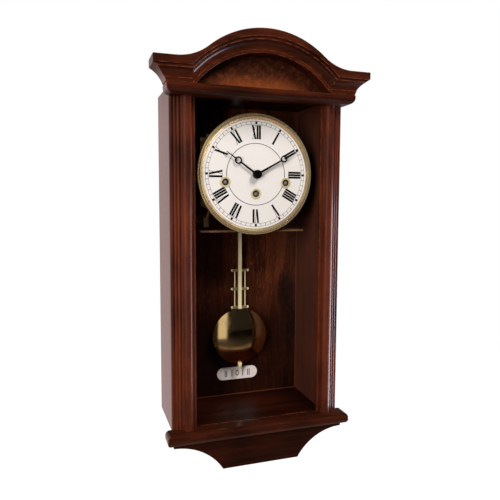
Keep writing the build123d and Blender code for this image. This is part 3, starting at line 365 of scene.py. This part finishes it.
# %% Brass recipe
def brass(clean, tarnish, amount, rough, lines, turned_at=None, cut=0.012 * mm):
    """Brass: amount is the share of tarnish, lines the pitch of the tool's marks, cut their depth."""

    def paint(spot):
        if turned_at is None:
            marks = noise(spread(spot, *lines), 1, 2.0)
        else:
            from_axis = spread(vector("SUBTRACT", spot, turned_at), 1, 0, 1)
            radius = vector("LENGTH", from_axis, out="Value")
            marks = noise(spot.node("ShaderNodeCombineXYZ", {"X": radius}), lines, 2.0)
        stain = rise(noise(spot, 70, 4.0, 0.6), 0.46, 0.78)
        specks = rise(noise(spot, 900, 2.0), 0.66, 0.74)
        shades = {
            "Base Color": tint((stain + specks * 0.6) * amount, clean, tarnish),
            "Roughness": rough + stain * 0.16 + marks * 0.10,
        }
        if cut:
            shades["Normal"] = relief(marks, cut)
        return shades

    return paint


# %% Brass of the bezel, the bob, the plates and the wheels
brown = (0.26, 0.14, 0.045)
dial_centre = (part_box("dial_bezel")[0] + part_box("dial_bezel")[1]) / 2
bob_centre = (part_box("pendulum_bob")[0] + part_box("pendulum_bob")[1]) / 2


def brass_finish(name, metallic, clean, amount, rough, *lines):
    return make_finish(name, brass(clean, brown, amount, rough, *lines), Metallic=metallic)


bezel_brass = brass_finish("polished brass, turned", 0.8, (0.95, 0.77, 0.45), 0.04, 0.14, 700, dial_centre, 0)
bob_brass = brass_finish("mirror brass", 1.0, (0.82, 0.61, 0.29), 0.12, 0.09, 1200, bob_centre, 0)
grommet_brass = brass_finish("spun brass", 0.5, (0.90, 0.82, 0.48), 0.15, 0.36, (60, 900, 900))
plate_brass = brass_finish("brushed brass", 1.0, (0.74, 0.52, 0.20), 0.45, 0.30, (40, 900, 900))
train_brass = brass_finish("cut brass", 1.0, (0.76, 0.55, 0.22), 0.30, 0.24, (700, 60, 700))
striker_brass = brass_finish("dull brass", 1.0, (0.55, 0.38, 0.15), 0.50, 0.32, (500, 60, 500))

# %% Brass of the pendulum's rods and crossbars
rod_gold, rod_tarnish, bar_brown = (0.95, 0.87, 0.56), (0.40, 0.29, 0.11), (0.15, 0.10, 0.035)
bar_low, bar_pitch, bar_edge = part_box("pendulum_bob")[1].z + 2.2 * mm, 29.1 * mm, (1.85 * mm, 2.0 * mm)
bar_span = (2.8 * mm, 3.1 * mm), (11.2 * mm, 11.6 * mm)
side_rod_span = (7.3 * mm, 7.5 * mm), (9.3 * mm, 9.5 * mm)


def band(value, start, end):
    """1 between two fades, each given by the values where it starts and ends."""
    return rise(value, *start) * (1 - rise(value, *end))


def pendulum_brass(spot):
    shades = brass(rod_gold, rod_tarnish, 0.25, 0.36, (900, 900, 30))(spot)
    across = size(axis(spot, "X"))
    up = axis(spot, "Z") - bar_low
    on_bar = 1 - rise(up.math("PINGPONG", up, bar_pitch / 2), *bar_edge)
    side_rod = band(across, *side_rod_span)
    dark = band(across, *bar_span) * side_rod.math("MAXIMUM", on_bar, 1 - side_rod)
    shades["Base Color"] = tint(dark * 0.9, shades["Base Color"], bar_brown)
    return shades


rod_brass = make_finish("pale brass", pendulum_brass, Metallic=0.1, Specular_IOR_Level=0.5)

# %% [markdown]
# ## Steel, iron and rubber
# Arbors and pins are bright turned steel, the winding squares are worn dull by the key, springs are
# tempered blue, gong rods are drawn steel, the hanger is zinc-plated sheet with its flaky spangle, the
# movement's seat is bronzed sheet, the gong block is sand-cast and painted black, and the wall bumpers are
# soft rubber. One recipe covers the metals: a colour, a second colour in clouds, and a grain.

# %% Steel recipe
fine_relief = 0.01 * mm


def metal(name, metallic, first, second, patch, rough, lines):
    """A metal of two colours in clouds of the size patch, with the grain that lines gives."""

    def paint(spot):
        clouds = rise(noise(spot, patch, 3.0, 0.6), 0.40, 0.70)
        marks = noise(spread(spot, *lines), 1, 2.0)
        return {
            "Base Color": tint(clouds * 0.7 + marks * 0.2, first, second),
            "Roughness": rough + clouds * 0.12 + marks * 0.12,
            "Normal": relief(marks, fine_relief),
        }

    return make_finish(name, paint, Metallic=metallic)


round_bar, long_bar, sheet = (60, 900, 60), (900, 900, 40), (300, 300, 300)
bright_steel = metal("turned steel", 1.0, (0.62, 0.61, 0.60), (0.40, 0.39, 0.38), 120, 0.18, round_bar)
arbor_steel = metal("bright steel", 0.4, (0.34, 0.32, 0.29), (0.20, 0.19, 0.17), 120, 0.22, round_bar)
blue_steel = metal("blued spring steel", 1.0, (0.10, 0.13, 0.22), (0.20, 0.17, 0.20), 90, 0.22, round_bar)
gong_steel = metal("drawn steel", 1.0, (0.46, 0.44, 0.41), (0.26, 0.23, 0.20), 80, 0.28, long_bar)
zinc = metal("zinc-plated sheet", 1.0, (0.62, 0.63, 0.64), (0.42, 0.44, 0.47), 160, 0.30, sheet)
bronzed = metal("bronzed sheet", 0.3, (0.22, 0.12, 0.06), (0.11, 0.06, 0.03), 90, 0.34, sheet)

# %% Cast iron and rubber
iron_black, iron_worn = (0.010, 0.009, 0.008), (0.055, 0.046, 0.040)
rubber_black, rubber_dust = (0.012, 0.012, 0.012), (0.05, 0.047, 0.044)
sand_relief, rubber_relief = 0.16 * mm, 0.06 * mm


def cast(spot):
    grains = noise(spot, 900, 3.0, 0.7)
    worn = rise(noise(spot, 60, 2.0) + edge_mask(spot) * 0.3, 0.35, 0.9)
    return {
        "Base Color": tint(worn, iron_black, iron_worn),
        "Roughness": 0.46 + grains * 0.24,
        "Normal": relief(grains, sand_relief),
    }


def rubber(spot):
    grains = noise(spot, 1400, 2.0)
    dust = rise(noise(spot, 220, 3.0), 0.52, 0.75)
    return {
        "Base Color": tint(dust * 0.5, rubber_black, rubber_dust),
        "Roughness": 0.62 + grains * 0.2,
        "Normal": relief(grains, rubber_relief),
    }


cast_iron = make_finish("black cast iron", cast, Specular_IOR_Level=0.4)
soft_rubber = make_finish("soft rubber", rubber, Specular_IOR_Level=0.3)

# %% [markdown]
# ## Paint and print
# The dial is sheet metal sprayed off-white, the hands are black, the numerals are printed and the beat
# plate is silvered. Paint is never one flat colour: the white has a faint warm drift and an orange-peel
# surface, and the black picks up dust in patches and is thin at stamped edges.

# %% Dial paint and black paint
white_warm, white_cool, white_speck = (0.72, 0.715, 0.705), (0.77, 0.775, 0.77), (0.62, 0.57, 0.50)
paint_black, paint_dust = (0.0025, 0.0025, 0.0025), (0.018, 0.017, 0.016)
peel_relief = 0.02 * mm


def dial_paint(spot):
    drift = noise(spot, 9, 2.0)
    peel = noise(spot, 480, 2.0)
    specks = rise(noise(spot, 1500, 1.0), 0.70, 0.76)
    colour = tint(specks * 0.25, tint(drift, white_warm, white_cool), white_speck)
    return {"Base Color": colour, "Roughness": 0.34 + peel * 0.12, "Normal": relief(peel, peel_relief)}


def black_paint(spot):
    dust = rise(noise(spot, 500, 3.0), 0.55, 0.75)
    peel = noise(spot, 900, 2.0)
    colour = tint(dust * 0.4 + edge_mask(spot) * 0.25, paint_black, paint_dust)
    return {"Base Color": colour, "Roughness": 0.24 + peel * 0.18, "Normal": relief(peel, peel_relief)}


white_paint = make_finish("dial paint", dial_paint, Specular_IOR_Level=0.45, Coat_Weight=0.25,
                          Coat_Roughness=0.12)
black = make_finish("black paint", black_paint, Specular_IOR_Level=0.12, Coat_Weight=0.15,
                    Coat_Roughness=0.12)

# %% Printing ink and silvering
ink_full, ink_thin = (0.002, 0.002, 0.0022), (0.009, 0.009, 0.009)
silver_dull, silver_bright = (0.86, 0.79, 0.78), (0.97, 0.93, 0.92)


def ink(spot):
    patchy = rise(noise(spot, 1300, 3.0), 0.30, 0.75)
    return {"Base Color": tint(patchy, ink_full, ink_thin), "Roughness": 0.42 + patchy * 0.2}


def silvering(spot):
    brushed = noise(spread(spot, 30, 900, 900), 1, 2.0)
    clouds = noise(spot, 55, 3.0)
    colour = tint(rise(clouds * 0.6 + brushed * 0.5, 0.35, 0.8), silver_dull, silver_bright)
    return {"Base Color": colour, "Roughness": 0.38 + brushed * 0.16, "Normal": relief(brushed, fine_relief)}


print_ink = make_finish("printed ink", ink, Specular_IOR_Level=0.05)
silver = make_finish("silvered plate", silvering, Specular_IOR_Level=0.5)

# %% [markdown]
# ## Finishes on the solids
# A solid whose shape is already right keeps its own mesh and only gets its finish. Each record slot has one
# finish; a few nodes differ, such as the bob, which is polished brighter than the rod it hangs on.

# %% Give every node its finish
slot_finish = {
    "case_wood": level_wood, "back_wood": back_veneer, "tympanum_burl": burl_veneer,
    "dial_white": white_paint, "hand_black": black, "beat_silver": silver,
    "bezel_brass": bezel_brass, "plate_brass": plate_brass, "train_brass": train_brass,
    "pendulum_brass": rod_brass, "striker_brass": striker_brass,
    "steel": bright_steel, "spring_steel": blue_steel, "hanger_steel": zinc,
    "gong_rod": gong_steel, "gong_iron": cast_iron, "bumper_rubber": soft_rubber,
}
own_finish = (
    (panel_wood, ("side_panel_left", "side_panel_right")),
    (post_wood, ("pilaster_left", "pilaster_right")),
    # The boards inside the case and the apron get the darker copy: painted shade.
    (shaded_wood, ("top_board", "bottom_board", "apron")),
    (arbor_steel, ("time_winding_arbor", "strike_winding_arbor", "chime_winding_arbor")),
    (bob_brass, ("pendulum_bob",)),
    (grommet_brass, ("winding_grommets",)),
    (bronzed, ("movement_seat",)),
    (silver, ("panel_rivets",)),
)
finish_of = {node: slot_finish[slot] for node, slot in slot_of.items()}
for finish, members in own_finish:
    finish_of.update(dict.fromkeys(members, finish))
for node, finish in finish_of.items():
    nodes[node].material_slots[0].material = finish
print(len(finish_of), "nodes have a finish")

# %% [markdown]
# ## Eased edges
# No real board has a knife edge: each arris is sanded round by half a millimetre, and that is what catches
# the light. A Bevel modifier could do it, but a CAD mesh is loose triangles, so a copy is merged, its flat
# faces are joined up again, and only the convex sharp edges are bevelled. The new narrow faces are marked
# in the edge attribute, and stay flat-shaded against the boards so that broad faces reflect evenly.

# %% Helpers for new pieces
same_point = 0.001 * mm
flat_angle, arris_angle, crease_angle = radians(0.2), radians(28), radians(36)


def place(bm, name, body, slot, finish):
    """The finished bmesh as an object that rides on a body."""
    mesh = bpy.data.meshes.new(name)
    bm.to_mesh(mesh)
    bm.free()
    piece = bpy.data.objects.new(name, mesh)
    bpy.context.scene.collection.objects.link(piece)
    mesh.materials.append(finish)
    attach(piece, body)
    return piece


def ease(node, width, segments=3):
    """A copy of a node with its outer edges rounded over, in the node's place."""
    bm = bmesh.new()
    bm.from_mesh(nodes[node].data)
    mark = bm.faces.layers.float.new("edge")
    bmesh.ops.remove_doubles(bm, verts=bm.verts, dist=same_point)
    bmesh.ops.dissolve_limit(bm, angle_limit=flat_angle, verts=bm.verts, edges=bm.edges)
    corners = [edge for edge in bm.edges if edge.is_manifold and edge.is_convex]
    arrises = [edge for edge in corners if edge.calc_face_angle() > arris_angle]
    eased = bmesh.ops.bevel(bm, geom=arrises, offset=width, offset_type="OFFSET", segments=segments,
                            profile=0.5, affect="EDGES", material=-1, clamp_overlap=False)
    for face in eased["faces"]:
        face[mark] = 1.0
    for face in bm.faces:
        face.smooth = True
    for edge in bm.edges:
        sides = [face[mark] for face in edge.link_faces]
        alike = len(sides) == 2 and sides[0] == sides[1]
        edge.smooth = alike and edge.calc_face_angle(0) < crease_angle
    piece = place(bm, node + "_eased", body_of[node], slot_of[node], finish_of[node])
    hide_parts(node)
    print(node, "eased", round(width / mm, 2), "mm on", len(arrises), "edges")
    return piece


# %% Ease the wood and the small stamped and cast parts
eased_widths = {
    "side_panel_left": 0.7, "side_panel_right": 0.7, "top_board": 0.7, "bottom_board": 0.7,
    "crown_moulding": 0.6, "crown_bead_board": 0.6, "base_moulding": 0.6, "apron": 0.6,
    "pilaster_left": 0.35, "pilaster_right": 0.35, "tympanum_panel": 0.35,
    "gong_block": 1.2, "hammer": 0.5, "silence_lever": 0.2, "hour_hand": 0.15, "minute_hand": 0.15,
    "beat_plate": 0.2, "movement_seat": 0.3,
}
for node, width in eased_widths.items():
    ease(node, width * mm)

# %% [markdown]
# ## The turned bezel
# The brass ring round the dial is spun on a lathe and polished, so its shine must run evenly round it. The
# triangles of a CAD ring are uneven and make the shine flicker, so the ring is turned again: the points of
# the solid that lie in one half plane through its axis are its section, and they are spun round that axis.

# %% Turn the bezel from its own section
def spin(bm, section, centre, steps):
    """A closed body of revolution round an axis that points to the front."""
    bmesh.ops.spin(bm, geom=section, cent=centre, axis=(0, 1, 0), angle=2 * pi, steps=steps, use_merge=True)


def turned(node, centre, steps=256, sharp=35):
    """A lathe-turned node, spun again from its section, in the node's place."""
    bm = bmesh.new()
    bm.from_mesh(nodes[node].data)
    bmesh.ops.remove_doubles(bm, verts=bm.verts, dist=same_point)
    elsewhere = [v for v in bm.verts if abs(v.co.z - centre.z) > same_point or v.co.x < centre.x]
    bmesh.ops.delete(bm, geom=elsewhere, context="VERTS")
    corners = len(bm.verts)
    spin(bm, bm.verts[:] + bm.edges[:], centre, steps)
    bmesh.ops.recalc_face_normals(bm, faces=bm.faces)
    for face in bm.faces:
        face.smooth = True
    for edge in bm.edges:
        edge.smooth = edge.calc_face_angle(0) < radians(sharp)
    piece = place(bm, node + "_turned", body_of[node], slot_of[node], finish_of[node])
    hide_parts(node)
    print(node, "turned from a section of", corners, "points")
    return piece


turned("dial_bezel", dial_centre)

# %% [markdown]
# ## The printed dial
# The print is a minute track between two fine circles, black squares at each five minutes, Roman numerals
# with their feet to the centre, and one circle inside them. A texture could hold it, but a pattern with hard
# edges stays sharp at any distance only as geometry, so each line of ink is a very thin solid on the paint.
# Rings are a small rectangle spun round the dial's axis; strokes are a four-cornered face extruded forward.

# %% Ink: rings and strokes on the dial
dial_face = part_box("dial_plate")[0].y
ink_film, ring_steps = 0.05 * mm, 160


def ring(bm, radius, width, film):
    """A flat ring of ink round the dial's centre."""
    corners = []
    for side, depth in ((-1, 0), (1, 0), (1, film), (-1, film)):
        out = radius + side * width / 2
        corners.append(bm.verts.new((dial_centre.x + out, dial_face - depth, dial_centre.z)))
    loop = [bm.edges.new((corners[k], corners[k - 1])) for k in range(4)]
    spin(bm, corners + loop, dial_centre, ring_steps)


def stroke(bm, hour, start, end, width, film):
    """One stroke of a numeral: start and end are (sideways, out from the centre), with level ends."""
    turn = Matrix.Rotation(radians(30 * hour), 4, "Y")
    corners = []
    for side, (across, out) in ((-1, start), (1, start), (1, end), (-1, end)):
        flat = Vector((across + side * width / 2, 0, out))
        corners.append(bm.verts.new(dial_centre + turn @ flat))
    for corner in corners:
        corner.co.y = dial_face
    face = bm.faces.new(corners)
    grown = bmesh.ops.extrude_face_region(bm, geom=[face])
    lifted = [v for v in grown["geom"] if isinstance(v, bmesh.types.BMVert)]
    bmesh.ops.translate(bm, verts=lifted, vec=(0, -film, 0))


# %% Minute track and circles
track_in, track_out, circle_radius = 68.8 * mm, 72.8 * mm, 42.75 * mm
track_line, circle_line, tick_wide, block_wide = 0.38 * mm, 0.85 * mm, 0.6 * mm, 3.0 * mm
block_in, block_out = track_in + 0.4 * mm, track_out - 0.2 * mm
tick_film, block_film = ink_film * 0.9, ink_film * 1.1
bm = bmesh.new()
for radius, width in ((track_in, track_line), (track_out, track_line), (circle_radius, circle_line)):
    ring(bm, radius, width, ink_film)
for minute in range(60):
    if minute % 5:
        stroke(bm, minute / 5, (0, track_in), (0, track_out), tick_wide, tick_film)
    else:
        stroke(bm, minute / 5, (0, block_in), (0, block_out), block_wide, block_film)
bmesh.ops.recalc_face_normals(bm, faces=bm.faces)
track = place(bm, "minute_track", "case", "hand_black", print_ink)
print("minute track with", len(track.data.polygons), "faces")

# %% [markdown]
# The numerals are built from three letters. A letter is a list of strokes: thick ones, hairlines, and thin
# serifs at the head and the foot. V and X have a thick stroke falling to the right and a hairline falling
# to the left, as a broad pen makes them. Hairlines lie a little lower than thick strokes, so no two
# faces of ink share a plane.

# %% Roman numerals
foot, head = 48.6 * mm, 67.6 * mm
thick, hair, serif = 2.85 * mm, 0.6 * mm, 0.6 * mm
hair_film, serif_film = ink_film * 0.8, ink_film * 0.7
stem_serif, thick_serif, hair_serif = 3.4 * mm, 3.3 * mm, 2.3 * mm
wide = {"I": 3.45 * mm, "V": 6.9 * mm, "X": 7.2 * mm}


def letter(bm, hour, kind, middle):
    """One letter centred at middle, with its head away from the dial's centre."""
    reach = wide[kind] / 2
    # Shares of the thick stroke bring its outer edges just inside the letter's width.
    left, right = middle - reach + thick * 0.62, middle + reach - thick * 0.45
    if kind == "I":
        stroke(bm, hour, (middle, foot), (middle, head), thick, ink_film)
        feet = heads = [(middle, stem_serif)]
    elif kind == "V":
        stroke(bm, hour, (middle + thick * 0.15, foot), (left, head), thick * 0.96, ink_film)
        stroke(bm, hour, (middle + thick * 0.35, foot + 0.4 * mm), (right, head), hair, hair_film)
        feet, heads = [], [(left, thick_serif), (right, hair_serif)]
    else:
        stroke(bm, hour, (right, foot), (left, head), thick, ink_film)
        stroke(bm, hour, (left, foot), (right, head), hair, hair_film)
        feet = [(right, thick_serif), (left, hair_serif)]
        heads = [(left, thick_serif), (right, hair_serif)]
    for at, width in feet:
        stroke(bm, hour, (at, foot), (at, foot + serif), width, serif_film)
    for at, width in heads:
        stroke(bm, hour, (at, head - serif), (at, head), width, serif_film)


bm = bmesh.new()
numerals = ("XII", "I", "II", "III", "IIII", "V", "VI", "VII", "VIII", "IX", "X", "XI")
for hour, numeral in enumerate(numerals):
    across = -sum(wide[kind] for kind in numeral) / 2
    for kind in numeral:
        letter(bm, hour, kind, across + wide[kind] / 2)
        across += wide[kind]
bmesh.ops.recalc_face_normals(bm, faces=bm.faces)
figures = place(bm, "dial_numerals", "case", "hand_black", print_ink)
print(len(numerals), "numerals with", len(figures.data.polygons), "faces")

# %% [markdown]
# ## Marks of the beat plate
# The silvered plate behind the pointer has a nought in the middle and one and two bars to each side, so that
# the swing can be set even. The bars are thin blocks, and the nought is a ring spun and stretched upright.

# %% Beat plate marks
plate_low, plate_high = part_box("beat_plate")
plate_middle = (plate_low + plate_high) / 2
bar_places, bar_size = (-20.2, -17.6, -9.0, 9.0, 17.6, 20.2), (1.2 * mm, 2 * ink_film, 10.4 * mm)
nought_in, nought_out, nought_stretch, nought_steps = 1.7 * mm, 2.6 * mm, 1.73, 40
bm = bmesh.new()
for across in bar_places:
    bar = bmesh.ops.create_cube(bm, size=1.0)["verts"]
    bmesh.ops.scale(bm, verts=bar, vec=bar_size)
    bmesh.ops.translate(bm, verts=bar, vec=(across * mm, plate_low.y, plate_middle.z))
section = [bm.verts.new((out, depth, 0)) for out, depth in (
    (nought_in, -ink_film), (nought_out, -ink_film), (nought_out, ink_film), (nought_in, ink_film))]
loop = [bm.edges.new((section[k], section[k - 1])) for k in range(4)]
spin(bm, section + loop, (0, 0, 0), nought_steps)
nought = [v for v in bm.verts if v.co.length < nought_out + 0.4 * mm]
bmesh.ops.scale(bm, verts=nought, vec=(1, 1, nought_stretch))
bmesh.ops.translate(bm, verts=nought, vec=(0, plate_low.y, plate_middle.z))
bmesh.ops.recalc_face_normals(bm, faces=bm.faces)
marks = place(bm, "beat_marks", "case", "hand_black", print_ink)
print("beat plate marks with", len(marks.data.polygons), "faces")

# %% [markdown]
# ## Light and floor
# The clock hung in a bright white booth with the dark of the room behind the camera. A world can be one
# colour, but then the lacquer would reflect white from in front and lose its depth. Here the world is white
# to the camera, and as light it is bright behind the clock, and dark in front and overhead.

# %% World
world = bpy.data.worlds.new("booth")
bpy.context.scene.world = world
world.use_nodes = True
sky = Shade(world.node_tree)
way = sky.node("ShaderNodeTexCoord", out="Generated")
backdrop_way = (-0.5, 0.85, 0.0)
booth_white, room_dark, plain_white = (0.67, 0.49, 0.475), (0.020, 0.018, 0.017), (1.0, 1.0, 1.0)
to_backdrop = rise(vector("DOT_PRODUCT", way, backdrop_way, out="Value"), 0.10, 0.75)
overhead = rise(axis(way, "Z"), 0.12, 0.40)
around = tint(to_backdrop * (1 - overhead), room_dark, booth_white)
seen = sky.node("ShaderNodeLightPath", out="Is Camera Ray")
background = world.node_tree.nodes["Background"]
world.node_tree.links.new(tint(seen, around, plain_white).socket, background.inputs["Color"])
background.inputs["Strength"].default_value = 1.0
print("world with", len(world.node_tree.nodes), "nodes")

# %% [markdown]
# Four soft lamps do the rest. The light that models the wood and the light that shines in it are set apart,
# because a lamp that throws the right shadow is not always a good thing to see mirrored in lacquer: at the
# left one lamp only lights and a broader one only shines, a small one from high up draws the shadows of the
# dial and the mouldings, and a cool one at the right keeps the far edges from going black.

# %% Lamps
warm, warm_white, cool = (1.0, 0.91, 0.85), (1.0, 0.93, 0.88), (0.86, 0.85, 1.0)
clock_middle = (0.0, 0.0, -0.1)


def lamp(name, at, towards, wide, tall, watts, colour):
    light = bpy.data.lights.new(name, "AREA")
    light.shape, light.size, light.size_y, light.energy, light.color = "RECTANGLE", wide, tall, watts, colour
    holder = bpy.data.objects.new(name, light)
    holder.location = at
    holder.rotation_euler = (Vector(towards) - Vector(at)).to_track_quat("-Z", "Y").to_euler()
    bpy.context.scene.collection.objects.link(holder)
    print("lamp", name, watts, "W")
    return holder


left_lamp = lamp("left_lamp", (-1.00, -1.15, 0.1), clock_middle, 0.5, 1.0, 17.5, warm)
left_lamp.visible_glossy = False
left_sheen = lamp("left_sheen", (-0.90, -1.20, 0.0), clock_middle, 1.3, 2.0, 6, warm)
left_sheen.visible_diffuse = False
high_lamp = lamp("high_lamp", (0.35, -0.80, 0.70), (0, -0.05, -0.05), 0.45, 0.45, 12, warm_white)
high_lamp.visible_glossy = False
lamp("right_lamp", (0.95, -0.12, -0.42), (-0.05, -0.12, 0.05), 0.7, 0.7, 9, cool)

# %% [markdown]
# The floor is a pale disc below the hanging clock that runs out to the horizon. It looks as white as the
# booth, and as light it does what the booth's floor does: it is bright behind the clock and has a warm glow
# in front, which the underside of the bob mirrors, and it fades to dark towards the room.

# %% Floor
floor_drop, floor_radius = 0.30, 40.0
front_glow, glow_band, backdrop_band = (0.26, 0.18, 0.13), (-0.75, -0.55), (0.0, 0.5)
floor_grey, floor_pale, no_light = (0.05, 0.045, 0.045), (0.20, 0.20, 0.20), (0.0, 0.0, 0.0)
bm = bmesh.new()
bmesh.ops.create_circle(bm, cap_ends=True, radius=floor_radius, segments=96)
bmesh.ops.translate(bm, verts=bm.verts, vec=(0, 0, cad_box[0].z - floor_drop))
mesh = bpy.data.meshes.new("floor")
bm.to_mesh(mesh)
bm.free()
floor = bpy.data.objects.new("floor", mesh)
bpy.context.scene.collection.objects.link(floor)


def pale(spot):
    drift = noise(spot, 3, 2.0)
    seen = spot.node("ShaderNodeLightPath", out="Is Camera Ray")
    away = axis(spot, "Y")
    lit = tint(rise(away, *glow_band), no_light, front_glow)
    lit = tint(rise(away, *backdrop_band), lit, booth_white)
    return {
        "Base Color": tint(seen, floor_grey, floor_pale),
        "Roughness": 0.7 + drift * 0.1,
        "Emission Color": tint(seen, lit, plain_white),
    }


mesh.materials.append(make_finish("pale floor", pale, Emission_Strength=1.0, Specular_IOR_Level=0.0))
floor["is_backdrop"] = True
bpy.context.scene.view_settings.view_transform = "Standard"

# %% [markdown]
# ## The size of the dressed clock
# Looks never change the size: the box of the dressed clock is written next to the box of the solids.

# %% Write the boxes and finish
dressed_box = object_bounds()
for kind, (low, high) in (("solids", cad_box), ("dressed", dressed_box)):
    print(kind, "measure", [round(v, 4) for v in high - low])
